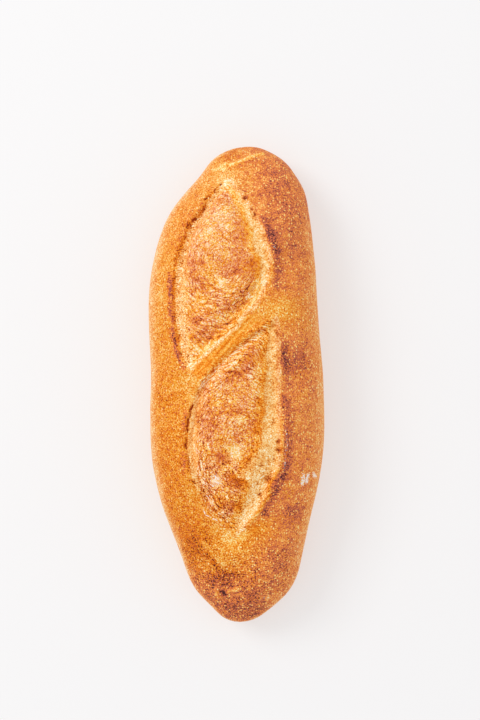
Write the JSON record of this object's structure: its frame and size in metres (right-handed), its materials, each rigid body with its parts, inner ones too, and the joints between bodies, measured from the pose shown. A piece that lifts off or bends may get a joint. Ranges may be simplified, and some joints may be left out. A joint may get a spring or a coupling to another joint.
{
  "type": "baguette loaf",
  "caption": "Short broad baguette loaf with a golden brown blistered crust, a flat underside and leaf-shaped slashes that opened over torn crumb.",
  "frame": {"origin": "on the board, under the middle of the loaf's outline", "axes": "+Y along the loaf towards its blunter end, +Z up through the crown, +X to the right seen from above with +Y up"},
  "size_m": [0.1178, 0.32, 0.0734],
  "materials": {
    "crust": "baked bread crust, matt with a faint sheen, golden brown with pale torn crumb in the slashes"
  },
  "bodies": {
    "root": {"loaf": "crust"}
  },
  "joints": []
}
